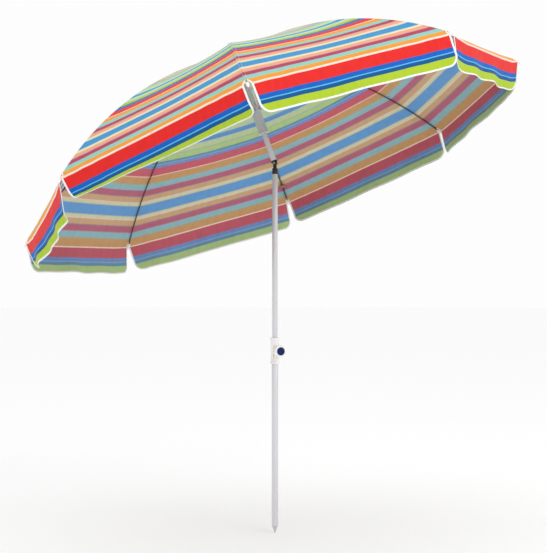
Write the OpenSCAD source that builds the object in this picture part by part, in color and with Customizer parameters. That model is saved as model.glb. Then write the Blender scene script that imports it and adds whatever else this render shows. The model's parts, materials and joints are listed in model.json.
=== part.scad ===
// Beach umbrella: eight-rib tilting canopy with hanging flaps, on a two-part telescopic pole with
// a ground spike. Millimetres, +Z up the pole.
// Origin: bottom rim of the lower tube, on the pole's axis, where the spike starts.
// The canopy leans towards -X. Everything above the tilt joint is drawn in the "head" frame, whose
// origin is the tilt pin and whose Z runs up the upper tube.

/* [Poles] */
// Outside diameter of the lower tube
lower_d = 22; // [20:1:25]
// Outside diameter of the middle and upper tubes
upper_d = 19; // [18:1:19]
// Wall of every tube
tube_wall = 0.8; // [0.8:0.1:1]
// Length of the lower tube
lower_len = 590; // [500:10:620]
// Height of the tilt pin
pin_z = 1252; // [1150:2:1300]
// How far the upper tube leans from upright
tilt = 22; // [0:1:30]

/* [Canopy] */
// Number of ribs, gores and stretchers
ribs = 8; // [8]
// Radius of the curve that every rib follows
canopy_r = 1560; // [1500:10:1700]
// Length of the fabric along a rib
rib_len = 1002; // [950:2:1010]
// Slope of the fabric where it leaves the pole
apex_slope = 4; // [3:0.5:5]
// Height of the fabric's peak above the tilt pin
apex_h = 415; // [410:1:430]
// Depth of the hanging flaps
flap_h = 100; // [80:5:120]
// Thickness of the fabric's solid
fabric_t = 0.8; // [0.8:0.1:1]

/* [Fold] */
// Height of the stretcher sockets above the tilt pin
runner_h = 202; // [198:1:206]
// Distance along the rib from the peak to its stretcher
stretcher_arc = 90; // [85:1:95]

/* [Knob] */
// Diameter of the clamp knob
knob_d = 43; // [38:1:46]
// Direction the knob points, about the pole
knob_angle = -39; // [-60:1:60]

/* [View] */
// Which sub-part to draw

/* [Hidden] */
$fn = 64;

STEEL = [0.62, 0.63, 0.64];
GREY = [0.60, 0.60, 0.60];
WHITE = [0.93, 0.93, 0.92];
BLACK = [0.10, 0.09, 0.09];
BLUE = [0.04, 0.18, 0.42];
TAN = [0.66, 0.56, 0.42];
FABRIC = [0.92, 0.29, 0.25];

run_fit = 0.08;                       // radial clearance of a shaft that turns or slides
gap = 0.3;                            // clearance between flat moving faces
lower_r = lower_d / 2;
lower_bore = lower_r - tube_wall;
upper_r = upper_d / 2;
upper_bore = upper_r - tube_wall;

spike_len = 26;
spike_tip_r = 1.5;
spike_plug = 16;

collar_h = 90;
collar_z0 = lower_len - 32;
neck_z = collar_z0 - 2;               // above this the tube is drawn in, where the collar grips it
neck_r = lower_r - 0.3;
collar_flange_r = 16.5;
collar_waist_r = 14.5;
collar_flange_h = 7;
knob_z = lower_len + 13;
boss_r = 10;
boss_x = 26;
nut_x = 15;
nut_h = 6.5;
nut_r = 7.5;
nut_wall = 0.5;                       // plastic left between the nut and the pad's pocket
screw_r = 3.5;
pad_r = 5;
pad_h = 1.7;
knob_h = 16;
knob_x = boss_x + 4;
knob_neck_r = boss_r - 1;
flutes = 8;
flute_r = 6;
flute_out = 4;                        // how far the flutes' centres lie outside the knob
cap_r = 14;
cap_h = 2.5;

middle_z0 = lower_len - 120;
socket_z = pin_z - 38;                // top rim of the middle tube
socket_plug = 30;
socket_cap_h = 20;
bush_h = 12;
tongue_t = 8;
tongue_w = 10;
prong_t = 3;
prong_w = 12;
prong_y = tongue_t / 2 + gap + prong_t / 2;
fork_z = 9;                           // bottom rim of the upper tube, head frame
fork_plug = 32;
fork_rim_h = 2.5;
fork_rim_r = upper_r + 1;
ear = [3, 7, 5];
pivot_r = 2.5;
pivot_tail = 8;                       // thread and head beyond the prongs, both ends together
pivot_head_r = 4.5;
pivot_head_h = 2.5;
pivot_nut_r = 4.6;
pivot_nut_h = 3.2;

gore_angle = 360 / ribs;
half_gore = gore_angle / 2;
hem_slope = apex_slope + rib_len / canopy_r * 180 / PI;
rib_r = 2;
rib_off = 4.6;                        // depth of the rib's axis below the fabric's outer face
root_r = 16;                          // radius of the crown's ring wire
root_eye_r = 3;
root_eye_w = 3.6;
wire_r = 0.9;
crown_r = 23;
crown_h = 14;
crown_top = apex_h - 4;
crown_web = 2;                        // crown left between the tube and the slots
groove_w = 2.2;
slot_w = 4.6;
hole_r = 11.5;                        // the fabric starts here, around the finial's stem
washer_r = 20;
washer_t = 0.6;
washer_play = 1;

finial_plug = 20;
finial_flange_h = 2.2;
finial_cone_h = 8;
finial_cone_r = 19;
finial_r = 12;
finial_h = 42;                        // height of the dome's centre above the flange's underside

fabric_steps = 16;
fabric_split = 0.25;                  // half the gap between two fabric solids, at a gore's middle
flap_inset = 4.5;                     // distance from the rib to the flap's edge at the seam
flap_taper = 8;                       // how much more that is at the hem
flap_corner_r = 35;

socket_r = 18;                        // radius of the stretcher ends inside the runner
runner_top = runner_h + 10;
runner_len = 100;
runner_z0 = runner_top - runner_len;
runner_hub_h = 22;
runner_hub_r = 22.5;
runner_slot = [20, 4.2, 20];
runner_slot_x = 12;
runner_slot_drop = 7;
runner_guide_h = 10;                  // length of the bore's tight end
runner_relief = 3;                    // how much wider the bore is between its tight ends
runner_rim_h = 4;
sleeve_r = 16.5;
catch_slot = [4.8, 42];
leaf_w = 4;
leaf_t = 0.8;
leaf_x = upper_bore - 2 * gap - leaf_t;
nose_x = 12.4;
nose_h = 30;
nose_flat = 2;

lug_t = 3;
lug_w = 6.8;
lug_drop = 7;                         // depth of the stretcher rivet below the rib's axis
eye_r = 4;
rivet_r = 1.5;
rivet_head_r = 3;
rivet_head_h = 1.2;
cheek_t = 1.5;
cheek_y = lug_t / 2 + 0.4;            // inner face of the stretcher's cheek
cheek_len = 10;
bridge_x = 6;
bridge_len = 8;
rod_x = 13;
rod_r = 1.8;
rod_eye_r = 2.4;
rod_eye_w = 3.4;
rib_tip_r = 3.2;
rib_tip_len = 8;
strap_arc = 905;                      // where the folded closing strap hangs on rib 6
strap = [12, 19, 9];

// Slope angle where a length s along the fabric has been covered
function slope_at(s) = apex_slope + s / canopy_r * 180 / PI;

// [radius, height] at slope angle a, at depth off below the fabric's outer face, head frame
function arc_pt(a, off) = [
    (canopy_r - off) * sin(a) - canopy_r * sin(apex_slope),
    apex_h + (canopy_r - off) * cos(a) - canopy_r * cos(apex_slope),
];

// Slope angle at which the rib's axis is at radius r
function slope_at_radius(r) =
    asin((r + canopy_r * sin(apex_slope)) / (canopy_r - rib_off));

root_slope = slope_at_radius(root_r);
root = arc_pt(root_slope, rib_off);
rivet_slope = slope_at(stretcher_arc);
rivet = arc_pt(rivet_slope, rib_off + lug_drop);
tip = arc_pt(hem_slope, 0);
stretch_dx = rivet[0] - socket_r;
stretch_dz = rivet[1] - runner_h;
stretch_len = norm([stretch_dx, stretch_dz]);
stretch_angle = atan2(stretch_dz, stretch_dx);

// Children drawn in the head frame, standing on the tilt pin
module in_head() translate([0, 0, pin_z]) rotate([0, -tilt, 0]) children();

// Children drawn in the plane of rib i, with X pointing out from the pole
module in_rib(i) in_head() rotate([0, 0, 180 + (i + 0.5) * gore_angle]) children();

// Children drawn around the clamp screw's axis, which becomes their Z
module on_screw() rotate([0, 0, knob_angle]) translate([0, 0, knob_z]) rotate([0, 90, 0]) children();

// A tube from z0 to z1
module tube(r, wall, z0, z1) translate([0, 0, z0]) difference() {
    cylinder(h = z1 - z0, r = r);
    translate([0, 0, -1]) cylinder(h = z1 - z0 + 2, r = r - wall);
}

// A disc across the rib's plane, centred on p = [x, z]
module cross_disc(p, r, w) translate([p[0], 0, p[1]]) rotate([90, 0, 0])
    cylinder(h = w, r = r, center = true);

// ---- Pole -------------------------------------------------------------------------------------

module ground_spike() color(GREY) {
    cylinder(h = spike_plug, r = lower_bore);
    translate([0, 0, -spike_len]) cylinder(h = spike_len, r1 = spike_tip_r, r2 = lower_r);
}

module lower_tube() color(STEEL) difference() {
    union() {
        cylinder(h = neck_z, r = lower_r);
        cylinder(h = lower_len, r = neck_r);
    }
    translate([0, 0, -1]) cylinder(h = lower_len + 2, r = lower_bore);
}

module height_collar() color(WHITE) difference() {
    union() {
        translate([0, 0, collar_z0]) cylinder(h = collar_h, r = collar_waist_r);
        for (z = [collar_z0, collar_z0 + collar_h - collar_flange_h])
            translate([0, 0, z]) cylinder(h = collar_flange_h, r = collar_flange_r);
        on_screw() cylinder(h = boss_x, r = boss_r);
    }
    translate([0, 0, collar_z0 - 1]) cylinder(h = lower_len - collar_z0 + 1, r = neck_r);
    translate([0, 0, collar_z0]) cylinder(h = collar_h + 1, r = upper_r + run_fit);
    on_screw() cylinder(h = boss_x + 1, r = screw_r + gap);
    on_screw() cylinder(h = nut_x - nut_wall, r = pad_r + gap);
    on_screw() translate([0, 0, nut_x]) cylinder(h = nut_h, r = nut_r, $fn = 6);
}

module collar_nut() color(STEEL) on_screw() translate([0, 0, nut_x]) difference() {
    cylinder(h = nut_h, r = nut_r, $fn = 6);
    translate([0, 0, -1]) cylinder(h = nut_h + 2, r = screw_r + run_fit);
}

module pressure_pad() color(BLACK) difference() {
    on_screw() translate([0, 0, upper_r - 1]) cylinder(h = pad_h + 1, r = pad_r);
    cylinder(h = 2 * lower_len, r = upper_r + gap);
}

module clamp_screw() color(STEEL) on_screw() translate([0, 0, upper_r + pad_h + gap])
    cylinder(h = knob_x - upper_r - pad_h - gap, r = screw_r);

module knob_body() color(WHITE) on_screw() difference() {
    union() {
        translate([0, 0, knob_x]) cylinder(h = knob_h, r = knob_d / 2);
        translate([0, 0, boss_x + 1]) cylinder(h = knob_x - boss_x, r = knob_neck_r);
    }
    translate([0, 0, boss_x]) cylinder(h = knob_x - boss_x, r = screw_r);
    for (k = [0 : flutes - 1]) rotate([0, 0, k * 360 / flutes])
        translate([knob_d / 2 + flute_out, 0, knob_x - 1]) cylinder(h = knob_h + 2, r = flute_r);
}

module knob_cap() color(BLUE) on_screw() translate([0, 0, knob_x + knob_h])
    cylinder(h = cap_h, r = cap_r);

module middle_tube() color(STEEL) tube(upper_r, tube_wall, middle_z0, socket_z);

module end_bush() color(BLACK) {
    translate([0, 0, middle_z0 - bush_h]) cylinder(h = bush_h, r = lower_bore - run_fit);
    translate([0, 0, middle_z0]) cylinder(h = bush_h, r = upper_bore);
}

// ---- Tilt joint -------------------------------------------------------------------------------

module tilt_socket() color(BLACK) difference() {
    tongue_z = socket_z + socket_cap_h - 1;
    union() {
        translate([0, 0, socket_z - socket_plug]) cylinder(h = socket_plug, r = upper_bore);
        translate([0, 0, socket_z]) cylinder(h = socket_cap_h, r = upper_r);
        translate([-tongue_w / 2, -tongue_t / 2, tongue_z])
            cube([tongue_w, tongue_t, pin_z - tongue_z]);
        translate([0, 0, pin_z]) cross_disc([0, 0], tongue_w / 2, tongue_t);
    }
    translate([0, 0, pin_z]) cross_disc([0, 0], pivot_r + run_fit, tongue_t + 2);
}

module tilt_fork() color(BLACK) in_head() difference() {
    union() {
        translate([0, 0, fork_z]) cylinder(h = fork_plug, r = upper_bore);
        translate([0, 0, fork_z - fork_rim_h]) cylinder(h = fork_rim_h, r = fork_rim_r);
        for (y = [-prong_y, prong_y]) translate([0, y, 0]) {
            translate([-prong_w / 2, -prong_t / 2, 0]) cube([prong_w, prong_t, fork_z]);
            cross_disc([0, 0], prong_w / 2, prong_t);
        }
        for (x = [-1, 1]) translate([x * (fork_rim_r - ear[0] / 2), 0, fork_z - 1 - ear[2] / 2])
            cube(ear, center = true);
    }
    cross_disc([0, 0], pivot_r, 3 * upper_r);
}

module tilt_pin() color(STEEL) in_head() {
    cross_disc([0, 0], pivot_r, 2 * prong_y + prong_t + pivot_tail);
    translate([0, -(prong_y + prong_t / 2 + pivot_head_h / 2), 0])
        cross_disc([0, 0], pivot_head_r, pivot_head_h);
}

module tilt_nut() color(STEEL) in_head() translate([0, prong_y + prong_t / 2 + pivot_nut_h, 0])
    rotate([90, 0, 0]) difference() {
        cylinder(h = pivot_nut_h, r = pivot_nut_r, $fn = 6);
        translate([0, 0, -1]) cylinder(h = pivot_nut_h + 2, r = pivot_r);
    }

module upper_tube() color(STEEL) in_head() difference() {
    tube(upper_r, tube_wall, fork_z, crown_top);
    translate([-catch_slot[0] / 2, 0, runner_z0 - catch_slot[1]])
        cube([catch_slot[0], upper_r + 1, catch_slot[1]]);
}

// Leaf spring behind a slot in the tube: its nose holds the runner up
module catch_spring() color(STEEL) in_head() rotate([90, 0, 90]) translate([0, 0, -leaf_w / 2])
    linear_extrude(leaf_w) polygon([
        [leaf_x, fork_z + fork_plug],
        [leaf_x + leaf_t, fork_z + fork_plug],
        [leaf_x + leaf_t, runner_z0 - nose_h],
        [nose_x, runner_z0 - nose_flat],
        [nose_x, runner_z0 - gap],
        [leaf_x, runner_z0 - gap],
    ]);

// ---- Fold mechanism ---------------------------------------------------------------------------

module runner() color(GREY) in_head() difference() {
    union() {
        translate([0, 0, runner_z0]) cylinder(h = runner_rim_h, r = sleeve_r + 1);
        translate([0, 0, runner_z0]) cylinder(h = runner_len, r = sleeve_r);
        translate([0, 0, runner_top - runner_hub_h]) cylinder(h = runner_hub_h, r = runner_hub_r);
    }
    translate([0, 0, runner_z0 - 1]) cylinder(h = runner_len + 2, r = upper_r + run_fit);
    translate([0, 0, runner_z0 + runner_guide_h])
        cylinder(h = runner_len - runner_hub_h - runner_guide_h - runner_rim_h,
            r = upper_r + run_fit + runner_relief);
    for (i = [1 : ribs]) rotate([0, 0, (i + 0.5) * gore_angle])
        translate([runner_slot_x, -runner_slot[1] / 2, runner_h - runner_slot_drop])
            cube(runner_slot);
}

module crown() color(WHITE) in_head() difference() {
    translate([0, 0, crown_top - crown_h]) cylinder(h = crown_h, r = crown_r);
    translate([0, 0, crown_top - crown_h - 1]) cylinder(h = crown_h + 2, r = upper_r);
    for (i = [1 : ribs]) rotate([0, 0, (i + 0.5) * gore_angle])
        translate([upper_r + crown_web, -slot_w / 2, crown_top - crown_h - 1])
            cube([crown_r, slot_w, crown_h + 2]);
    rotate_extrude() translate([root_r - groove_w / 2, root[1] - wire_r])
        square([groove_w, crown_h]);
}

module crown_ring() color(STEEL) in_head() rotate_extrude() translate(root) circle(r = wire_r);

// Disc on top of the fabric, under the finial's flange
module fabric_washer() color(WHITE) in_head()
    tube(washer_r, washer_r - upper_r - washer_play, apex_h + gap - washer_t, apex_h + gap);

module finial() color(WHITE) in_head() translate([0, 0, apex_h + gap]) {
    plug_z = crown_top - finial_plug - apex_h - gap;
    translate([0, 0, plug_z]) cylinder(h = 1 - plug_z, r = upper_bore);
    cylinder(h = finial_flange_h, r = crown_r);
    translate([0, 0, finial_flange_h])
        cylinder(h = finial_cone_h, r1 = finial_cone_r, r2 = finial_r);
    translate([0, 0, finial_cone_h]) cylinder(h = finial_h - finial_cone_h, r = finial_r);
    translate([0, 0, finial_h]) sphere(r = finial_r);
}

module rib(i) color(STEEL) in_rib(i) difference() {
    union() {
        translate([-canopy_r * sin(apex_slope), 0, apex_h - canopy_r * cos(apex_slope)])
            rotate([90, 0, 0]) rotate([0, 0, 90 - hem_slope])
                rotate_extrude(angle = hem_slope - root_slope, $fn = 256)
                    translate([canopy_r - rib_off, 0]) circle(r = rib_r, $fn = 48);
        cross_disc(root, root_eye_r, root_eye_w);
        translate([rivet[0], 0, rivet[1]]) rotate([0, rivet_slope, 0])
            translate([-lug_w / 2, -lug_t / 2, 0]) cube([lug_w, lug_t, lug_drop]);
        cross_disc(rivet, eye_r, lug_t);
        cross_disc(rivet, rivet_r, 2 * (cheek_y + cheek_t + gap + rivet_head_h));
        for (y = [-1, 1]) translate([0, y * (cheek_y + cheek_t + gap + rivet_head_h / 2), 0])
            cross_disc(rivet, rivet_head_r, rivet_head_h);
    }
    cross_disc(root, wire_r + gap, 2 * root_eye_w);
}

// Cap over the end of a rib
module rib_tip(i) color(WHITE) in_rib(i) {
    end = arc_pt(hem_slope, rib_off);
    translate([end[0], 0, end[1]]) rotate([0, 90 + hem_slope, 0]) {
        cylinder(h = rib_tip_len, r = rib_tip_r);
        translate([0, 0, rib_tip_len]) sphere(r = rib_tip_r);
    }
}

// From the rivet on the rib down to the runner's socket
module stretcher(i) color(STEEL) in_rib(i) difference() {
    translate([rivet[0], 0, rivet[1]]) rotate([0, 180 - stretch_angle, 0]) {
        for (y = [-1, 1]) translate([0, y * (cheek_y + cheek_t / 2), 0]) {
            translate([0, -cheek_t / 2, -lug_w / 2]) cube([cheek_len, cheek_t, lug_w]);
            cross_disc([0, 0], eye_r, cheek_t);
        }
        translate([bridge_x, -cheek_y, -lug_w / 2]) cube([bridge_len, 2 * cheek_y, lug_w]);
        translate([rod_x, 0, 0]) rotate([0, 90, 0]) cylinder(h = stretch_len - rod_x, r = rod_r);
        cross_disc([stretch_len, 0], rod_eye_r, rod_eye_w);
    }
    cross_disc(rivet, rivet_r + run_fit, 4 * cheek_y + 2 * cheek_t);
}

// ---- Fabric -----------------------------------------------------------------------------------

hem_x = tip[0] * cos(half_gore);
hem_y = tip[0] * sin(half_gore);

// All the space under one gore and inside its flap, for a skin that lies off below the outer face.
// X runs along the gore's middle, Y along its hem.
module under_gore(off) {
    end_r = (hem_x - off) / cos(half_gore);
    end_slope = asin((end_r + canopy_r * sin(apex_slope)) / (canopy_r - off));
    top = [for (k = [0 : fabric_steps])
        let (p = arc_pt(apex_slope + (end_slope - apex_slope) * k / fabric_steps, off))
            [p[0] * cos(half_gore), p[1]]];
    floor_z = tip[1] - flap_h - 1 - off;
    rotate([90, 0, 0]) translate([0, 0, -tip[0]]) linear_extrude(2 * tip[0])
        polygon(concat(top, [[hem_x - off, floor_z], [top[0][0], floor_z]]));
}

// What is cut away below a flap and beside it, up to the slit at the rib
module flap_cut() {
    low_y = hem_y - flap_inset - flap_taper;
    beyond = hem_y + flap_h;
    translate([hem_x - 2 * fabric_t, 0, tip[1]]) rotate([90, 0, 90]) linear_extrude(4 * fabric_t)
        polygon(concat(
            [[beyond, -fabric_t], [hem_y - flap_inset, -fabric_t]],
            [for (a = [0 : -15 : -90]) [
                low_y - flap_corner_r * (1 - cos(a)),
                flap_corner_r * (1 + sin(a)) - flap_h,
            ]],
            [[-1, -flap_h], [-1, -2 * flap_h], [beyond, -2 * flap_h]]
        ));
}

// The space under both of the gores that meet at a rib, X along the rib
module under_both(off) intersection_for(m = [0, 1])
    mirror([0, m, 0]) rotate([0, 0, -half_gore]) under_gore(off);

// The fabric from the middle of one gore to the middle of the next, with half a flap of each
module canopy(i) color(FABRIC) in_rib(i) difference() {
    intersection() {
        under_both(0);
        translate([fabric_split / sin(half_gore), 0, tip[1] - 2 * flap_h])
            linear_extrude(apex_h + 2 * flap_h) polygon([
                [0, 0],
                [2 * hem_x, -2 * hem_x * tan(half_gore)],
                [2 * hem_x, 2 * hem_x * tan(half_gore)],
            ]);
    }
    under_both(fabric_t);
    for (m = [0, 1]) mirror([0, m, 0]) rotate([0, 0, -half_gore]) flap_cut();
    cylinder(h = 2 * apex_h, r = hole_r);
}

// The strap that ties the closed canopy, folded up against rib 6
module closing_strap() color(TAN) in_rib(6) {
    p = arc_pt(slope_at(strap_arc), rib_off);
    translate([p[0], 0, p[1]]) rotate([0, slope_at(strap_arc), 0])
        translate([-strap[0] / 2, -strap[1] / 2, -rib_r - strap[2]]) cube(strap);
}

ground_spike();
lower_tube();
height_collar();
collar_nut();
pressure_pad();
clamp_screw();
knob_body();
knob_cap();
middle_tube();
end_bush();
tilt_socket();
tilt_fork();
tilt_pin();
tilt_nut();
upper_tube();
runner();
crown();
crown_ring();
fabric_washer();
finial();
catch_spring();
closing_strap();
for (i = [1 : ribs]) {
    rib(i);
    rib_tip(i);
    stretcher(i);
    canopy(i);
}
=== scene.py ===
"""Beach umbrella: finishes, cloth, trim, light and camera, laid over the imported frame.

Everything is in metres in the frame of the CAD model. The canopy leans, so its pieces are worked
out in the "head" frame (origin at the tilt pin, Z up the upper tube) and then moved into place.
"""
import json
import logging
import math
from dataclasses import dataclass
from enum import Enum
from typing import Any, Dict, List, Optional, Sequence, Tuple

import bpy
import numpy as np
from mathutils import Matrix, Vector


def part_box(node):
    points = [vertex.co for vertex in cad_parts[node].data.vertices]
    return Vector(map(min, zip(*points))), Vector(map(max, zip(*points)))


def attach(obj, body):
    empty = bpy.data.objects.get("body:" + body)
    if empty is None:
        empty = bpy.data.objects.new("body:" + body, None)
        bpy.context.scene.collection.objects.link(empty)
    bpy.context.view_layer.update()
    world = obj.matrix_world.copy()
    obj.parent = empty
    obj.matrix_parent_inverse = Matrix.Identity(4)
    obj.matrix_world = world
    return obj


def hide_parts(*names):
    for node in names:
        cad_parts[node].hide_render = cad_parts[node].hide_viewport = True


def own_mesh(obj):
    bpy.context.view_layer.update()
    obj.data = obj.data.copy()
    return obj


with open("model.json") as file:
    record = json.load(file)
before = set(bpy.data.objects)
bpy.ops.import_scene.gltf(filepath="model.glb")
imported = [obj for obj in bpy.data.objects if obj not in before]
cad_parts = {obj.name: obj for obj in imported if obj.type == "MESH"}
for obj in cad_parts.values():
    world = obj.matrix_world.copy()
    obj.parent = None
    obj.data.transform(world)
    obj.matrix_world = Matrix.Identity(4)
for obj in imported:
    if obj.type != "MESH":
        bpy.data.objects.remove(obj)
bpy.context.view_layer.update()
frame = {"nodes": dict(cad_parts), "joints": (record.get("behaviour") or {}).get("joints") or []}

LOG = logging.getLogger("umbrella")
Rgb = Tuple[int, int, int]
RIBS = 8


def srgb(red: int, green: int, blue: int) -> Tuple[float, float, float, float]:
    """Turns an 8-bit screen colour into the linear colour that shaders take.

    Args:
        red: Red, 0 to 255.
        green: Green, 0 to 255.
        blue: Blue, 0 to 255.

    Returns:
        Linear red, green, blue and an alpha of 1.
    """
    def linear(value: int) -> float:
        """Linear light for one channel."""
        v = value / 255.0
        return v / 12.92 if v <= 0.04045 else ((v + 0.055) / 1.055) ** 2.4

    return (linear(red), linear(green), linear(blue), 1.0)


# ---- Shader building -----------------------------------------------------------------------------


class Signal:
    """A shader socket that can be used in Python arithmetic."""

    def __init__(self, graph: "Graph", socket: Any) -> None:
        """Wraps one output socket of a graph."""
        self.graph = graph
        self.socket = socket

    def _maths(self, operation: str, *values: Any) -> "Signal":
        """Adds a Math node of that operation and returns its result."""
        node = self.graph.node("ShaderNodeMath", {"operation": operation}, dict(enumerate(values)))
        return Signal(self.graph, node.outputs[0])

    def __add__(self, other: Any) -> "Signal":
        """Sum."""
        return self._maths("ADD", self, other)

    __radd__ = __add__

    def __sub__(self, other: Any) -> "Signal":
        """Difference."""
        return self._maths("SUBTRACT", self, other)

    def __rsub__(self, other: Any) -> "Signal":
        """Difference the other way round."""
        return self._maths("SUBTRACT", other, self)

    def __mul__(self, other: Any) -> "Signal":
        """Product."""
        return self._maths("MULTIPLY", self, other)

    __rmul__ = __mul__

    def __mod__(self, other: Any) -> "Signal":
        """Remainder, never negative."""
        return self._maths("FLOORED_MODULO", self, other)

    def size(self) -> "Signal":
        """Absolute value."""
        return self._maths("ABSOLUTE", self)

    def wave(self) -> "Signal":
        """Sine of the value in radians."""
        return self._maths("SINE", self)

    def at_least(self, floor: float) -> "Signal":
        """The larger of the value and the floor."""
        return self._maths("MAXIMUM", self, floor)

    def at_most(self, ceiling: float) -> "Signal":
        """The smaller of the value and the ceiling."""
        return self._maths("MINIMUM", self, ceiling)


class Graph:
    """One material's node tree, with its Principled shader."""

    def __init__(self, name: str) -> None:
        """Starts a material with that name.

        Args:
            name: The material's name.
        """
        self.material = bpy.data.materials.new(name)
        self.material.use_nodes = True
        self.tree = self.material.node_tree
        self.tree.nodes.clear()
        self.shader = self.node("ShaderNodeBsdfPrincipled")
        self.node("ShaderNodeOutputMaterial", {}, {"Surface": Signal(self, self.shader.outputs[0])})

    def node(
        self, kind: str, settings: Optional[Dict[str, Any]] = None, values: Optional[Dict[Any, Any]] = None
    ) -> Any:
        """Adds a node.

        Args:
            kind: The node's type name.
            settings: Its properties; "stops" fills a colour ramp with (position, colour) pairs.
            values: A number, colour or Signal for each input, by name or place.

        Returns:
            The new node.
        """
        made = self.tree.nodes.new(kind)
        for key, value in (settings or {}).items():
            if key == "stops":
                self._fill(made.color_ramp, value)
            elif key == "interpolation" and hasattr(made, "color_ramp"):
                made.color_ramp.interpolation = value
            else:
                setattr(made, key, value)
        for key, value in (values or {}).items():
            if isinstance(value, Signal):
                self.tree.links.new(value.socket, made.inputs[key])
            else:
                made.inputs[key].default_value = value
        return made

    @staticmethod
    def _fill(ramp: Any, stops: Sequence[Tuple[float, Sequence[float]]]) -> None:
        """Puts the stops into a colour ramp.

        Args:
            ramp: The ramp, with its first two stops.
            stops: Position and linear colour of each stop.
        """
        ramp.elements[0].position, ramp.elements[0].color = stops[0]
        ramp.elements[1].position, ramp.elements[1].color = stops[-1]
        for position, colour in stops[1:-1]:
            ramp.elements.new(position).color = colour

    def out(self, node: Any, name: Any = 0) -> Signal:
        """One output of a node as a Signal."""
        return Signal(self, node.outputs[name])

    def mix(self, factor: Any, first: Any, second: Any) -> Signal:
        """Mixes two colours.

        Args:
            factor: Share of the second colour, a number or Signal.
            first: First colour or Signal.
            second: Second colour or Signal.

        Returns:
            The mixed colour.
        """
        node = self.node("ShaderNodeMix", {"data_type": "RGBA"}, {0: factor, 6: first, 7: second})
        return self.out(node, 2)

    def noise(self, where: Signal, scale: float, detail: float = 3.0) -> Signal:
        """Fractal noise at a place, scale in features per metre."""
        node = self.node("ShaderNodeTexNoise", {}, {"Vector": where, "Scale": scale, "Detail": detail})
        return self.out(node, "Fac" if "Fac" in node.outputs else 0)

    def place(self) -> Signal:
        """Object coordinates, in metres."""
        return self.out(self.node("ShaderNodeTexCoord"), "Object")

    def stretched(self, where: Signal, scale: Sequence[float]) -> Signal:
        """A vector multiplied by a scale for each axis."""
        return self.out(self.node("ShaderNodeVectorMath", {"operation": "MULTIPLY"}, {0: where, 1: scale}))

    def bump(self, height: Signal, depth: float, strength: float = 1.0) -> None:
        """Feeds a height, in units of depth metres, to the shader's normal."""
        node = self.node("ShaderNodeBump", {}, {"Height": height, "Distance": depth, "Strength": strength})
        self.wire("Normal", self.out(node))

    def wire(self, name: str, value: Any) -> None:
        """Sets or links one of the shader's inputs.

        Args:
            name: The input's name.
            value: A number, a colour or a Signal.
        """
        if isinstance(value, Signal):
            self.tree.links.new(value.socket, self.shader.inputs[name])
        else:
            self.shader.inputs[name].default_value = value


# ---- Finishes ------------------------------------------------------------------------------------


class Side(Enum):
    """The two faces of the cloth."""

    OUTER = "outer"
    UNDER = "under"


# Stripes of the cloth, from the middle of a repeat out to its edge: where each starts (metres), its
# colour on the outer face, and its duller colour on the underside, the print darkened with painted
# shade for the face turned away from the light.
STRIPES: List[Tuple[float, Rgb, Rgb]] = [
    (0.000, (58, 148, 206), (98, 152, 206)),
    (0.0215, (150, 204, 206), (162, 184, 170)),
    (0.0245, (240, 232, 190), (206, 200, 168)),
    (0.036, (242, 206, 164), (212, 200, 178)),
    (0.042, (238, 168, 134), (198, 162, 124)),
    (0.066, (196, 132, 156), (154, 126, 140)),
    (0.070, (178, 60, 86), (178, 98, 120)),
    (0.094, (192, 136, 164), (158, 138, 160)),
    (0.098, (138, 206, 196), (138, 180, 186)),
    (0.122, (200, 200, 146), (170, 164, 140)),
    (0.1265, (240, 158, 52), (194, 150, 100)),
    (0.157, (255, 224, 208), (226, 180, 164)),
    (0.1625, (228, 40, 36), (194, 94, 108)),
    (0.2005, (14, 96, 190), (112, 142, 198)),
    (0.2145, (88, 184, 234), (126, 178, 212)),
    (0.2185, (10, 86, 146), (104, 142, 172)),
    (0.2305, (174, 202, 44), (172, 198, 134)),
    (0.2565, (158, 210, 172), (154, 186, 158)),
    (0.2625, (206, 222, 172), (186, 200, 152)),
    (0.288, (140, 206, 196), (172, 198, 188)),
    (0.294, (58, 148, 206), (96, 146, 198)),
]
# Height of a repeat's middle above the seam, and half a repeat, both in metres
REPEAT_MIDDLE = 0.160
REPEAT_HALF = 0.308


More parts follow.
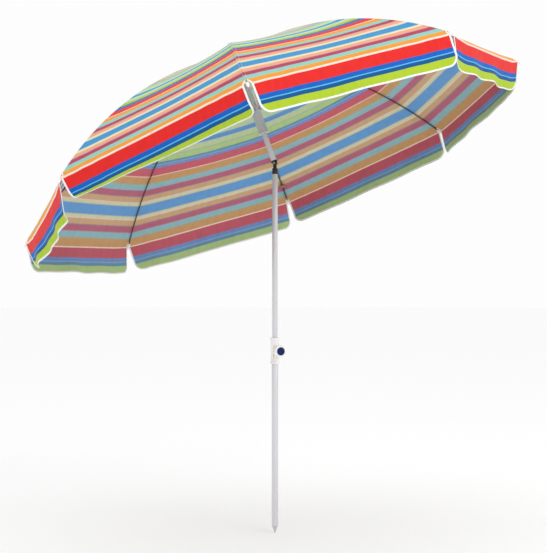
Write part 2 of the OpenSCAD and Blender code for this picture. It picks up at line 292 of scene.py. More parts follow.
@dataclass(frozen=True)
class StripedCloth:
    """Printed polyester: stripes that run along the hem, a fine plain weave and a slight sheen.

    The print is paler from fade_from metres above the seam upwards. The underside takes the
    duller stripe colours, which are the print darkened with painted shade, and let_through is
    how much brighter painted daylight through the cloth makes its underside.
    """

    side: Side
    thread: float = 0.00055
    roughness: float = 0.66
    pastel: Rgb = (196, 226, 200)
    fade_from: float = 0.47
    fade_rate: float = 8.0
    fade_most: float = 0.6
    let_through: float = 1.13
    raggedness: float = 0.0006

    def build(self) -> bpy.types.Material:
        """Makes the material. It reads the UV map "cloth": across the gore, and up from the seam.

        Returns:
            The material.
        """
        g = Graph(f"cloth_{self.side.value}")
        chart = g.out(g.node("ShaderNodeUVMap", {"uv_map": "cloth"}))
        split = g.node("ShaderNodeSeparateXYZ", {}, {0: chart})
        across, up = g.out(split, "X"), g.out(split, "Y")
        ragged = g.noise(g.place(), 900.0, 2.0) * self.raggedness - self.raggedness / 2
        folded = ((up + ragged - REPEAT_MIDDLE + REPEAT_HALF) % (2 * REPEAT_HALF) - REPEAT_HALF).size()
        # The underside picks the duller colours, which are painted shade, and lifts them by let_through,
        # which is painted light through the cloth.
        pick = 1 if self.side is Side.OUTER else 2
        lit = 1.0 if self.side is Side.OUTER else self.let_through
        stops = [(s[0] / REPEAT_HALF, tuple(min(1.0, c * lit) for c in srgb(*s[pick]))) for s in STRIPES]
        banding = {"interpolation": "CONSTANT", "stops": stops}
        printed = g.out(g.node("ShaderNodeValToRGB", banding, {0: folded * (1 / REPEAT_HALF)}), "Color")
        warp = (across * (math.tau / self.thread)).wave()
        weft = (up * (math.tau / self.thread)).wave()
        weave = warp * weft
        slub = g.noise(g.stretched(g.place(), (1.0, 1.0, 0.35)), 60.0, 4.0)
        fade = ((up - self.fade_from) * self.fade_rate).at_least(0.0).at_most(self.fade_most)
        faded = g.mix(fade, printed, srgb(*self.pastel))
        shade = g.mix(weave * 0.04 + 0.04, faded, (0.01, 0.01, 0.02, 1.0))
        g.wire("Base Color", g.mix((slub - 0.38) * 0.22, shade, (0.0, 0.0, 0.0, 1.0)))
        g.wire("Roughness", slub * 0.16 + (self.roughness - 0.08))
        g.wire("Specular IOR Level", 0.18)
        g.wire("Sheen Weight", 0.05)
        g.wire("Sheen Roughness", 0.4)
        g.bump(weave * 0.6 + slub * 1.6, 0.00012, 0.5)
        return g.material


@dataclass(frozen=True)
class Tape:
    """Woven cotton tape: binding, piping, thread and webbing, by colour and thread size."""

    name: str
    colour: Rgb
    thread: float = 0.0009
    roughness: float = 0.75

    def build(self) -> bpy.types.Material:
        """Makes the material, with a twill bump on object coordinates.

        Returns:
            The material.
        """
        g = Graph(self.name)
        where = g.place()
        split = g.node("ShaderNodeSeparateXYZ", {}, {0: where})
        x, y, z = (g.out(split, axis) for axis in "XYZ")
        turns = math.tau / self.thread
        twill = ((x + y + z) * turns).wave() * ((x - y + z) * turns).wave()
        worn = g.noise(where, 45.0, 4.0)
        shade = g.mix(twill * 0.06 + 0.06, srgb(*self.colour), (0.03, 0.03, 0.03, 1.0))
        g.wire("Base Color", g.mix((worn - 0.45) * 0.3, shade, (0.75, 0.72, 0.66, 1.0)))
        g.wire("Roughness", worn * 0.2 + (self.roughness - 0.1))
        g.wire("Sheen Weight", 0.2)
        g.bump(twill, 0.00012, 0.6)
        return g.material


@dataclass(frozen=True)
class Metal:
    """Painted or plated steel: drawn lines along the tube, faint orange peel and rubbed patches."""

    name: str
    colour: Rgb
    worn: Rgb
    metallic: float = 0.6
    roughness: float = 0.36
    wear: float = 0.25
    along: Tuple[float, float, float] = (1.0, 1.0, 0.03)

    def build(self) -> bpy.types.Material:
        """Makes the material on object coordinates.

        Returns:
            The material.
        """
        g = Graph(self.name)
        where = g.place()
        drawn = g.noise(g.stretched(where, self.along), 900.0, 2.0)
        peel = g.noise(where, 420.0, 2.0)
        patch = g.noise(where, 9.0, 5.0)
        rubbed = ((patch - 0.52) * 4.0).at_least(0.0) * self.wear
        base = g.mix(rubbed, srgb(*self.colour), srgb(*self.worn))
        g.wire("Base Color", g.mix((drawn - 0.5) * 0.12 + 0.04, base, (0.30, 0.29, 0.30, 1.0)))
        g.wire("Metallic", self.metallic)
        g.wire("Roughness", drawn * 0.10 + patch * 0.14 + (self.roughness - 0.12))
        g.bump(peel * 0.7 + drawn * 0.5, 0.00006, 0.5)
        return g.material


@dataclass(frozen=True)
class Plastic:
    """Moulded plastic: a fine spark-eroded grain with slow colour drift and handling marks."""

    name: str
    colour: Rgb
    drift: Rgb
    roughness: float = 0.42
    grain: float = 1400.0
    coat: float = 0.0
    ior: float = 1.49

    def build(self) -> bpy.types.Material:
        """Makes the material on object coordinates.

        Returns:
            The material.
        """
        g = Graph(self.name)
        where = g.place()
        grain = g.noise(where, self.grain, 2.0)
        cloud = g.noise(where, 28.0, 4.0)
        scuff = g.noise(g.stretched(where, (1.0, 1.0, 0.12)), 260.0, 4.0)
        faded = ((cloud - 0.42) * 2.2).at_least(0.0)
        g.wire("Base Color", g.mix(faded, srgb(*self.colour), srgb(*self.drift)))
        g.wire("Roughness", scuff * 0.22 + (self.roughness - 0.11))
        g.wire("Coat Weight", self.coat)
        g.wire("IOR", self.ior)
        g.bump(grain + scuff * 0.4, 0.00007, 0.45)
        return g.material


@dataclass(frozen=True)
class Finishes:
    """Every material of the umbrella, built once."""

    outer: bpy.types.Material
    under: bpy.types.Material
    binding: bpy.types.Material
    piping: bpy.types.Material
    thread: bpy.types.Material
    webbing: bpy.types.Material
    tube: bpy.types.Material
    upper: bpy.types.Material
    steel: bpy.types.Material
    rib_steel: bpy.types.Material
    white: bpy.types.Material
    grey: bpy.types.Material
    black: bpy.types.Material
    blue: bpy.types.Material

    @classmethod
    def make(cls) -> "Finishes":
        """Builds them all."""
        return cls(
            outer=StripedCloth(Side.OUTER).build(),
            under=StripedCloth(Side.UNDER).build(),
            binding=Tape("white_binding", (246, 246, 244)).build(),
            piping=Tape("pale_piping", (255, 236, 224), 0.0007).build(),
            thread=Tape("sewing_thread", (238, 236, 228), 0.0004).build(),
            webbing=Tape("tan_webbing", (150, 122, 92), 0.0016, 0.82).build(),
            tube=Metal("coated_tube", (214, 212, 216), (232, 232, 234), 0.35, 0.40).build(),
            # The upper tube's paint is a little darker than the lower tubes': partly a real paint
            # difference, partly painted shade for the canopy's shadow. The stretchers share it.
            upper=Metal("grey_tube", (206, 205, 208), (218, 218, 220), 0.30, 0.42).build(),
            steel=Metal("zinc_plated_steel", (176, 178, 180), (120, 112, 100), 0.95, 0.30, 0.35).build(),
            rib_steel=Metal(
                "rib_wire", (84, 76, 76), (52, 44, 42), 0.75, 0.42, 0.5, (0.4, 0.4, 0.4)
            ).build(),
            white=Plastic("white_plastic", (244, 243, 241), (232, 230, 226), 0.36, coat=0.15).build(),
            # Light grey plastic: the spike's own colour. On the runner its grey is partly painted shade for
            # the canopy's shadow.
            grey=Plastic("grey_plastic", (196, 197, 200), (182, 184, 188), 0.45).build(),
            black=Plastic("black_nylon", (30, 25, 23), (52, 42, 38), 0.48).build(),
            blue=Plastic("blue_plastic", (3, 26, 84), (6, 34, 98), 0.42, ior=1.3).build(),
        )


# ---- Mesh helpers --------------------------------------------------------------------------------


class MeshMaker:
    """Collects vertices and faces of one piece, then turns them into an object."""

    def __init__(self, name: str) -> None:
        """Starts an empty piece with that name.

        Args:
            name: The piece's name.
        """
        self.name = name
        self.points: List[np.ndarray] = []
        self.faces: List[Tuple[int, ...]] = []
        self.slots: List[int] = []
        self.uvs: List[np.ndarray] = []
        self.count = 0

    def add(self, points: np.ndarray, uv: Optional[np.ndarray] = None) -> int:
        """Adds points.

        Args:
            points: Points in any grid, with a last axis of 3.
            uv: Their UV pairs, or None for a piece that doesn't use them.

        Returns:
            The index of the first point.
        """
        first = self.count
        flat = np.asarray(points, float).reshape(-1, 3)
        self.points.append(flat)
        self.uvs.append(np.zeros((len(flat), 2)) if uv is None else np.asarray(uv, float).reshape(-1, 2))
        self.count += len(flat)
        return first

    def face(self, corners: Sequence[int], slot: int = 0) -> None:
        """Adds one face."""
        self.faces.append(tuple(int(c) for c in corners))
        self.slots.append(slot)

    def shell(
        self, outer: np.ndarray, inner: np.ndarray, uv: np.ndarray, slots: Tuple[int, int, int]
    ) -> None:
        """Adds a closed sheet from two grids of points.

        Args:
            outer: Rows by columns of points on the outer face, wound so that it faces outwards.
            inner: The same grid on the inner face.
            uv: The grid's UV pairs.
            slots: Material slots of the outer face, the inner face and the cut edge.
        """
        rows, cols = outer.shape[:2]
        a, b = self.add(outer, uv), self.add(inner, uv)
        for r in range(rows - 1):
            for c in range(cols - 1):
                k = r * cols + c
                quad = (k, k + 1, k + cols + 1, k + cols)
                self.face([a + q for q in quad], slots[0])
                self.face([b + q for q in reversed(quad)], slots[1])
        loop = (
            list(range(cols))
            + [r * cols + cols - 1 for r in range(1, rows)]
            + [(rows - 1) * cols + c for c in range(cols - 2, -1, -1)]
            + [r * cols for r in range(rows - 2, 0, -1)]
        )
        for p, q in zip(loop, loop[1:] + loop[:1]):
            self.face((a + q, a + p, b + p, b + q), slots[2])

    def sweep(self, rings: np.ndarray) -> None:
        """Adds a tube with closed ends from rings of points, each ring going round the path.

        Args:
            rings: Path steps by ring points.
        """
        steps, size = rings.shape[:2]
        first = self.add(rings)
        for s in range(steps - 1):
            for k in range(size):
                n = (k + 1) % size
                a = first + s * size
                self.face((a + k, a + n, a + size + n, a + size + k))
        self.face([first + k for k in reversed(range(size))])
        self.face([first + (steps - 1) * size + k for k in range(size)])

    def build(self, materials: Sequence[bpy.types.Material], smooth: bool = True) -> bpy.types.Object:
        """Makes the object.

        Args:
            materials: One for each material slot.
            smooth: Whether its faces are shaded smooth.

        Returns:
            The object, at the origin, in the scene.
        """
        mesh = bpy.data.meshes.new(self.name)
        mesh.from_pydata(np.vstack(self.points).tolist(), [], self.faces)
        for material in materials:
            mesh.materials.append(material)
        mesh.polygons.foreach_set("material_index", self.slots)
        mesh.polygons.foreach_set("use_smooth", [smooth] * len(self.faces))
        if smooth and max(self.slots) > 1:
            self.sharpen_rim(mesh)
        layer = mesh.uv_layers.new(name="cloth")
        corner = np.zeros(len(mesh.loops), np.int32)
        mesh.loops.foreach_get("vertex_index", corner)
        layer.data.foreach_set("uv", np.vstack(self.uvs)[corner].astype(np.float32).ravel())
        mesh.validate(verbose=False)
        mesh.update()
        made = bpy.data.objects.new(self.name, mesh)
        bpy.context.scene.collection.objects.link(made)
        return made

    def sharpen_rim(self, mesh: bpy.types.Mesh) -> None:
        """Marks the cut edge of a sheet sharp, so that it doesn't bend the shading of its faces.

        Args:
            mesh: The mesh, whose cut edge has material slot 2.
        """
        edges = np.zeros(len(mesh.loops), np.int32)
        mesh.loops.foreach_get("edge_index", edges)
        sharp = np.zeros(len(mesh.edges), bool)
        for polygon, slot in zip(mesh.polygons, self.slots):
            if slot == 2:
                sharp[edges[polygon.loop_start : polygon.loop_start + polygon.loop_total]] = True
        mesh.attributes.new("sharp_edge", "BOOLEAN", "EDGE").data.foreach_set("value", sharp)


def tube_rings(path: np.ndarray, side: np.ndarray, half_w: float, half_h: float, size: int) -> np.ndarray:
    """Rings of an oval section along a path.

    Args:
        path: Points along the path.
        side: Unit vector across the section's width at each point.
        half_w: Half the width.
        half_h: Half the height.
        size: Points in a ring.

    Returns:
        Steps by size by 3 points.
    """
    along = np.gradient(path, axis=0)
    along /= np.linalg.norm(along, axis=1)[:, None]
    side = side - (side * along).sum(1)[:, None] * along
    side /= np.linalg.norm(side, axis=1)[:, None]
    lift = np.cross(along, side)
    turn = np.arange(size) * math.tau / size
    return (
        path[:, None]
        + half_w * np.cos(turn)[None, :, None] * side[:, None]
        + half_h * np.sin(turn)[None, :, None] * lift[:, None]
    )


def grid_normals(points: np.ndarray) -> np.ndarray:
    """Unit normals of a grid of points, by differences along its rows and columns.

    Args:
        points: Rows by columns by 3.

    Returns:
        The normals, in the same shape.
    """
    down, right = np.gradient(points, axis=0), np.gradient(points, axis=1)
    normal = np.cross(right, down)
    return normal / np.maximum(np.linalg.norm(normal, axis=2), 1e-12)[..., None]


# ---- Canopy --------------------------------------------------------------------------------------


@dataclass(frozen=True)
class Slit:
    """The gap between two flaps at a rib: half widths at the seam and, beyond that, at the hem."""

    inset: float = 0.0045
    taper: float = 0.008


SLITS: Dict[int, Slit] = {1: Slit(0.0085, 0.004), 2: Slit(0.0130, 0.0005), 3: Slit(0.0085, 0.004)}


@dataclass(frozen=True)
class Hang:
    """How one gore's flap hangs: swing out and tuck under at its two ends, in degrees.

    The seam droops and the flap waves by lengths in metres. The tuck begins at the share bend_from
    of the flap's depth.
    """

    swing: Tuple[float, float]
    tuck: Tuple[float, float]
    droop: float = 0.003
    wave: float = 0.0034
    bend_from: float = 0.5

    def profile(self, drop: np.ndarray, way: np.ndarray, flap: float) -> Tuple[np.ndarray, np.ndarray]:
        """Fall and outward swing of points on the flap.

        Args:
            drop: Length below the seam, along the cloth.
            way: Position between the gore's two ribs, 0 to 1.
            flap: The flap's depth.

        Returns:
            How far each point lies below the seam, and how far out from it.
        """
        swing = np.radians(self.swing[0] + (self.swing[1] - self.swing[0]) * way)
        tuck = np.radians(self.tuck[0] + (self.tuck[1] - self.tuck[0]) * way)
        start = self.bend_from * flap
        rate = np.maximum(tuck, 0.01) / (flap - start)
        straight, rest = np.minimum(drop, start), np.maximum(drop - start, 0)
        fall = np.cos(swing) * straight + (np.sin(swing) - np.sin(swing - rate * rest)) / rate
        out = np.sin(swing) * straight + (np.cos(swing - rate * rest) - np.cos(swing)) / rate
        return fall, out


# Gore 8 comes first, since gores count round the canopy and 8 and 0 are the same one
HANG: List[Hang] = [
    Hang((0, 0), (8, 12), 0.016, 0.0075),
    Hang((-16, -2), (116, 78), 0.000, 0.0030, 0.46),
    Hang((0, -4), (12, 14), 0.001, 0.0030),
    Hang((-15, -27), (8, 10), 0.014, 0.0055),
    Hang((-24, -14), (6, 10), 0.005, 0.0045),
    Hang((-5, -10), (8, 12), 0.003, 0.0040),
    Hang((15, 16), (10, 10), 0.003, 0.0035),
    Hang((20, 5), (8, 6), 0.006, 0.0045),
]


@dataclass
class HeadFrame:
    """The leaning frame of the canopy: origin at the tilt pin, Z up the upper tube."""

    pin: np.ndarray
    up: np.ndarray

    @classmethod
    def from_record(cls, joints: Sequence[Dict[str, Any]]) -> "HeadFrame":
        """Reads the tilt pin's place and the slide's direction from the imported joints."""
        named = {j["name"]: j for j in joints}
        return cls(np.array(named["tilt"]["pos_m"], float), -np.array(named["runner_slide"]["axis"], float))

    def world(self, points: np.ndarray) -> np.ndarray:
        """Head-frame points in the frame of the CAD model.

        Args:
            points: Points with a last axis of 3.

        Returns:
            Points of the same shape.
        """
        y = np.array([0.0, 1.0, 0.0])
        x = np.cross(y, self.up)
        return self.pin + points[..., :1] * x + points[..., 1:2] * y + points[..., 2:] * self.up

    def turned(self, vector: Sequence[float]) -> np.ndarray:
        """A head-frame direction in the frame of the CAD model."""
        return self.world(np.array([vector], float))[0] - self.pin


@dataclass
class Canopy:
    """Eight gores of cloth on bowed ribs, with hanging flaps, binding, piping and stitching."""

    head: HeadFrame
    finishes: Finishes
    # The ribs' arc: its radius, its slope at the peak, its length and the peak's height
    radius: float = 1.560
    slope: float = math.radians(4.0)
    rib_len: float = 1.002
    apex: float = 0.415
    # Cut of the cloth: flap depth and corner radius, peak hole, height of the arch over a slit
    flap: float = 0.100
    corner: float = 0.035
    hole: float = 0.0115
    notch: float = 0.021
    cloth: float = 0.0005
    # How the stretched panels give: sag between ribs, creases at the corners, unevenness
    sag: float = 0.011
    crease: float = 0.0016
    crease_reach: float = 0.16
    uneven: float = 0.0011
    droop_reach: float = 0.06
    # The seam on a rib: its extra height, and the half width over which that height runs out
    seam_lift: float = 0.0007
    seam_half: float = 0.0062
    # Edge tape and piping: half widths, half thicknesses, and the tape's middle inside the edge
    tape_half: float = 0.0034
    tape_thick: float = 0.0009
    tape_inset: float = 0.0028
    piping_half: float = 0.0016
    piping_thick: float = 0.0021
    # Pocket on a rib's end: length, half width and half height, and its middle below the cloth
    pocket: float = 0.017
    pocket_half: float = 0.0052
    pocket_thick: float = 0.0036
    rib_depth: float = 0.0046
    # Sewing: distance from a rib, from the seam and from the flap's edge, and height over the cloth
    sewn_rib: float = 0.0045
    sewn_seam: float = 0.0042
    sewn_edge: float = 0.0052
    sewn_lift: float = 0.0004
    # Points of a sheet along and across, and the width that is left when the canopy is folded
    rows: int = 96
    cols: int = 22
    keep: float = 0.62

    @property
    def half(self) -> float:
        """Half a gore's angle."""
        return math.pi / RIBS

    def rib_azimuth(self, rib: int) -> float:
        """Direction of a rib in the head frame."""
        return math.pi + (rib + 0.5) * 2 * self.half

    def arc(self, s: np.ndarray) -> Tuple[np.ndarray, np.ndarray]:
        """The outer face over a rib.

        Args:
            s: Length from the peak.

        Returns:
            Radius and height at that length.
        """
        a = self.slope + s / self.radius
        r = self.radius * (np.sin(a) - math.sin(self.slope))
        return r, self.apex + self.radius * (np.cos(a) - math.cos(self.slope))

    def gore_azimuth(self, gore: int) -> float:
        """Direction of a gore's middle in the head frame; gore n lies between ribs n and n + 1."""
        return math.pi + (gore + 1) * 2 * self.half

    def ripple(self, gore: int, across: np.ndarray, along: np.ndarray) -> np.ndarray:
        """Small seeded unevenness of the cloth.

        Args:
            gore: Which gore.
            across: Distance across it.
            along: Distance along it.

        Returns:
            Values from -1 to 1.
        """
        rng = np.random.default_rng(40 + gore % RIBS)
        total = np.zeros(np.broadcast(across, along).shape)
        for k in range(5):
            f, h = rng.uniform(6, 26), rng.uniform(3, 14)
            total += np.sin(f * across + h * along + rng.uniform(0, math.tau)) / 5
        return total

    def panel_point(self, gore: int, s: np.ndarray, y: np.ndarray) -> np.ndarray:
        """Outer face of a gore, head frame.

        Args:
            gore: Which gore.
            s: Length from the peak, along a rib.
            y: Distance from the gore's middle, along its hem.

        Returns:
            Points of the same shape, with a last axis of 3.
        """
        r, z = self.arc(s)
        x = r * math.cos(self.half)
        wide = r * math.sin(self.half)
        w = np.clip(y / np.maximum(wide, 1e-6), -1, 1)
        a = self.slope + s / self.radius
        share = s / self.rib_len
        belly = self.sag * np.sin(math.pi * np.clip(share, 0, 1) ** 1.25) * (1 - w**2)
        low = np.clip((s - self.rib_len + self.droop_reach) / self.droop_reach, 0, 1)
        droop = HANG[gore % RIBS].droop * low**2 * (1 - np.abs(w) ** 5)
        edge = wide - np.abs(y)
        sewn = np.clip((self.seam_half - edge) / 0.0014, 0, 1) * np.clip((s - 0.03) / 0.02, 0, 1)
        pull = np.exp(-((self.rib_len - s) / self.crease_reach)) * np.abs(w) ** 3 * (1 - np.abs(w)) * 4
        crease = self.crease * pull * np.sin(26 * w * (1 + 0.3 * np.sin(gore * 1.7)) + gore)
        uneven = self.uneven * self.ripple(gore, y, s) * (1 - w**4) * np.clip(s / 0.2, 0, 1)
        out = self.seam_lift * sewn - belly + crease + uneven
        steep = np.arctan2(np.sin(a) * math.cos(self.half), np.cos(a))
        x, z = x + out * np.sin(steep) - 0.3 * droop, z + out * np.cos(steep) - droop
        return self.turn_to_gore(gore, x, y, z)

    def turn_to_gore(self, gore: int, x: np.ndarray, y: np.ndarray, z: np.ndarray) -> np.ndarray:
        """Turns points from a gore's own axes to the head frame."""
        c, s = math.cos(self.gore_azimuth(gore)), math.sin(self.gore_azimuth(gore))
        return np.stack([x * c - y * s, x * s + y * c, z + 0 * x], -1)

    def hem(self) -> Tuple[float, float, float]:
        """Distance out, half width and height of a gore's hem, in the gore's own axes."""
        r, z = self.arc(np.array(self.rib_len))
        return float(r) * math.cos(self.half), float(r) * math.sin(self.half), float(z)

    def slit(self, gore: int, sign: float) -> Slit:
        """The slit beside a half flap."""
        return SLITS.get((gore + (1 if sign > 0 else 0) - 1) % RIBS + 1, Slit())

    def panel_edge(self, gore: int, sign: float, s: np.ndarray) -> np.ndarray:
        """Distance from the gore's middle to the arch that the slit cuts into the panel."""
        u = np.clip((s - self.rib_len + self.notch) / self.notch, 0, 1)
        return self.arc(s)[0] * math.sin(self.half) - self.slit(gore, sign).inset * np.sqrt(u)

    def flap_edge(self, gore: int, sign: float, drop: np.ndarray) -> np.ndarray:
        """Distance from the gore's middle to the flap's free edge.

        Args:
            gore: Which gore.
            sign: 1 for the side of the next rib, -1 for the other.
            drop: Depth below the seam.

        Returns:
            Distances of the same shape as drop.
        """
        slit = self.slit(gore, sign)
        edge = self.hem()[1] - slit.inset - slit.taper * drop / self.flap
        low = np.clip(drop - (self.flap - self.corner), 0, self.corner)
        return edge - (self.corner - np.sqrt(np.maximum(self.corner**2 - low**2, 0)))

    def flap_point(self, gore: int, drop: np.ndarray, y: np.ndarray) -> np.ndarray:
        """Outer face of a flap, head frame: it hangs from the hem with soft waves.

        Args:
            gore: Which gore.
            drop: Depth below the seam.
            y: Distance from the gore's middle, along the hem.

        Returns:
            Points of the same shape, with a last axis of 3.
        """
        hem_x, wide, hem_z = self.hem()
        t = drop / self.flap
        rng = np.random.default_rng(70 + gore % RIBS)
        wave = np.zeros(np.broadcast(drop, y).shape)
        for k in range(3):
            size = rng.uniform(0.6, 1.0)
            turns = (2.2 + 1.9 * k) * math.pi * y / wide / 1.6
            wave += size * np.sin(turns + rng.uniform(0, math.tau))
        curl = 0.004 * np.clip(np.abs(y) / wide - 0.75, 0, 1) * 4
        way = np.clip((y / wide + 1) / 2, 0, 1)
        hang = HANG[gore % RIBS]
        fallen, swung = hang.profile(drop + 0 * y, way, self.flap)
        top = self.panel_point(gore, np.full(np.shape(y), self.rib_len), y)
        flat = self.turn_to_gore(gore, np.full(np.shape(y), hem_x), y, np.full(np.shape(y), hem_z))
        sway = swung + hang.wave * wave * t**1.4 + curl * t**2
        sway = sway + 0.0006 * self.ripple(gore, 2 * y, 3 * drop) * t
        out = self.turn_to_gore(gore, sway, np.zeros(np.shape(sway)), np.zeros(np.shape(sway)))
        below = self.turn_to_gore(gore, np.full(np.shape(sway), hem_x), y, hem_z - fallen) + out
        return below + (top - flat) * (1 - 0.35 * t)[..., None]

    def half_columns(self, wide: np.ndarray) -> np.ndarray:
        """Places of the columns across half a gore, finer at the rib's seam.

        Args:
            wide: Half width of the gore at each row.

        Returns:
            Distances from the gore's middle, rows by columns.
        """
        near = np.array([0.0075, 0.0062, 0.0048, 0.0024, 0.0])
        steps = np.linspace(0, 1, self.cols - len(near) + 1)[:-1]
        edge = np.minimum(near[None, :], wide[:, None] * np.array([0.4, 0.32, 0.24, 0.12, 0.0]))
        inner = (wide - edge[:, 0])[:, None] * steps[None, :]
        return np.hstack([inner, wide[:, None] - edge])

    def sector(self, rib: int) -> bpy.types.Object:
        """The cloth of one rib: the near halves of the gores on both sides and their half flaps.

        Args:
            rib: Which rib.

        Returns:
            The piece.
        """
        maker = MeshMaker(f"fabric_{rib}")
        start = self.hole / math.cos(self.half)
        first = (math.asin(start / self.radius + math.sin(self.slope)) - self.slope) * self.radius
        s = first + (self.rib_len - self.notch - first) * np.linspace(0, 1, self.rows) ** 0.92
        ys = self.half_columns(self.arc(s)[0] * math.sin(self.half))
        before = self.panel_point(rib - 1, s[:, None] + 0 * ys, ys)
        after = self.panel_point(rib, s[:, None] + 0 * ys, -ys)[:, ::-1]
        ridge = (before[:, -1:] + after[:, :1]) / 2
        points = self.head.world(np.concatenate([before[:, :-1], ridge, after[:, 1:]], axis=1))
        up = self.rib_len - s[:, None] + 0 * ys
        across = np.concatenate([ys[:, :-1], ys[:, -1:], 2 * ys[:, -1:] - ys[:, ::-1][:, 1:]], axis=1)
        uv = np.stack([across, np.concatenate([up, up[:, 1:]], axis=1)], -1)
        points, uv = points[:, ::-1], uv[:, ::-1]
        maker.shell(points, points - self.cloth * self.outward(points), uv, (0, 1, 2))
        for gore, sign in ((rib - 1, 1.0), (rib, -1.0)):
            outer, uv = self.skirt(gore, sign)
            maker.shell(outer, outer - self.cloth * self.outward(outer), uv, (0, 1, 2))
        f = self.finishes
        return maker.build([f.outer, f.under, f.outer])

    def outward(self, points: np.ndarray) -> np.ndarray:
        """Unit normals of a grid, on the side away from a point below the peak.

        Args:
            points: Rows by columns by 3.

        Returns:
            The normals, in the same shape.
        """
        normal = grid_normals(points)
        rel = points - self.head.pin - 0.2 * self.head.up
        sign = np.sign((normal * rel).sum(-1).mean())
        return normal * sign

    def skirt(self, gore: int, sign: float) -> Tuple[np.ndarray, np.ndarray]:
        """The lowest strip of half a gore, beside the slit's arch, and its half flap below the seam.

        Args:
            gore: Which gore.
            sign: 1 for the side of the next rib, -1 for the other.

        Returns:
            The grid of points and its UV pairs.
        """
        top = np.array([self.rib_len - self.notch])
        share = self.half_columns(self.arc(top)[0] * math.sin(self.half))[0]
        share = share / share[-1]
        s = top + self.notch * np.linspace(0, 1, 8) ** 2
        straight = np.linspace(0, self.flap - self.corner, 9)[1:]
        bend = self.flap - self.corner + self.corner * np.sin(np.linspace(0, math.pi / 2, 14))[1:]
        drop = np.concatenate([straight, bend])
        y_panel = sign * self.panel_edge(gore, sign, s)[:, None] * share
        y_flap = sign * self.flap_edge(gore, sign, drop)[:, None] * share
        panel = self.panel_point(gore, s[:, None] + 0 * y_panel, y_panel)
        flap = self.flap_point(gore, drop[:, None] + 0 * y_flap, y_flap)
        points = self.head.world(np.concatenate([panel, flap]))
        up = np.concatenate([self.rib_len - s, -drop])[:, None]
        uv = np.stack([np.concatenate([y_panel, y_flap]), up + 0 * share], -1)
        if sign > 0:
            return points[:, ::-1], uv[:, ::-1]
        return points, uv

    def edge_path(self, gore: int, sign: float, inset: float = 0.0) -> np.ndarray:
        """Points in the head frame along a half flap's free edge, from the slit's arch to its middle.

        Args:
            gore: Which gore.
            sign: 1 for the side of the next rib, -1 for the other.
            inset: How far inside the edge the path runs.

        Returns:
            The points.
        """
        s = self.rib_len - self.notch * (1 - np.linspace(0, 1, 10)[:-1] ** 2)
        arch = self.panel_point(gore, s, sign * (self.panel_edge(gore, sign, s) - inset))
        down = np.linspace(0, self.flap - self.corner, 9)
        turn = np.linspace(0, math.pi / 2, 12)[1:]
        low = self.flap_edge(gore, sign, np.array(self.flap - self.corner))
        bent_y = low - self.corner + (self.corner - inset) * np.cos(turn)
        bent_t = self.flap - self.corner + (self.corner - inset) * np.sin(turn)
        flat_y = np.linspace(bent_y[-1], 0, 16)[1:]
        y = np.concatenate([self.flap_edge(gore, sign, down) - inset, bent_y, flat_y])
        t = np.concatenate([down, bent_t, np.full(flat_y.shape, self.flap - inset)])
        return np.concatenate([arch, self.flap_point(gore, t, sign * y)])

    def hem_path(self, gore: int, sign: float, drop: float = 0.0) -> np.ndarray:
        """Points in the head frame along half a hem, from the gore's middle to the rib.

        Args:
            gore: Which gore.
            sign: 1 for the side of the next rib, -1 for the other.
            drop: Depth below the seam; 0 is the seam itself.

        Returns:
            The points.
        """
        y = sign * np.linspace(0, self.hem()[1] - self.slit(gore, sign).inset - 0.001, 24)
        if drop > 0:
            return self.flap_point(gore, np.full(y.shape, drop), y)
        return self.panel_point(gore, np.full(y.shape, self.rib_len), y)

    def tube_along(self, maker: MeshMaker, gore: int, path: np.ndarray, wide: float, thick: float) -> None:
        """Adds a flat oval tape along a path on a flap.

        Args:
            maker: The piece that takes it.
            gore: Which gore.
            path: Head-frame points.
            wide: Half its width.
            thick: Half its thickness.
        """
        out = self.turn_to_gore(gore, np.array([1.0]), np.array([0.0]), np.array([0.0]))[0]
        normal = np.repeat(self.head.turned(out)[None, :], len(path), axis=0)
        maker.sweep(tube_rings(self.head.world(path), normal, thick, wide, 10))

    def binding(self, rib: int) -> bpy.types.Object:
        """The tape round the free edges of a rib's half flaps, and the pocket for the rib's end.

        Args:
            rib: Which rib.

        Returns:
            The piece.
        """
        maker = MeshMaker(f"binding_{rib}")
        for gore, sign in ((rib - 1, 1.0), (rib, -1.0)):
            edge = self.edge_path(gore, sign, self.tape_inset)
            self.tube_along(maker, gore, edge, self.tape_half, self.tape_thick)
        azimuth = self.rib_azimuth(rib)
        s = np.linspace(self.rib_len - self.pocket, self.rib_len + 0.001, 9)
        a = self.slope + s / self.radius
        r, z = self.arc(s)
        r, z = r - self.rib_depth * np.sin(a), z - self.rib_depth * np.cos(a)
        path = self.head.world(np.stack([r * math.cos(azimuth), r * math.sin(azimuth), z], -1))
        across = self.head.turned((-math.sin(azimuth), math.cos(azimuth), 0))
        side = np.repeat(across[None, :], len(s), axis=0)
        maker.sweep(tube_rings(path, side, self.pocket_half, self.pocket_thick, 16))
        return maker.build([self.finishes.binding])

    def piping(self, rib: int) -> bpy.types.Object:
        """The pale piping let into the seam between panel and flap.

        Args:
            rib: Which rib.

        Returns:
            The piece.
        """
        maker = MeshMaker(f"piping_{rib}")
        for gore, sign in ((rib - 1, 1.0), (rib, -1.0)):
            seam = self.hem_path(gore, sign)
            self.tube_along(maker, gore, seam, self.piping_thick, self.piping_half)
        return maker.build([self.finishes.piping])

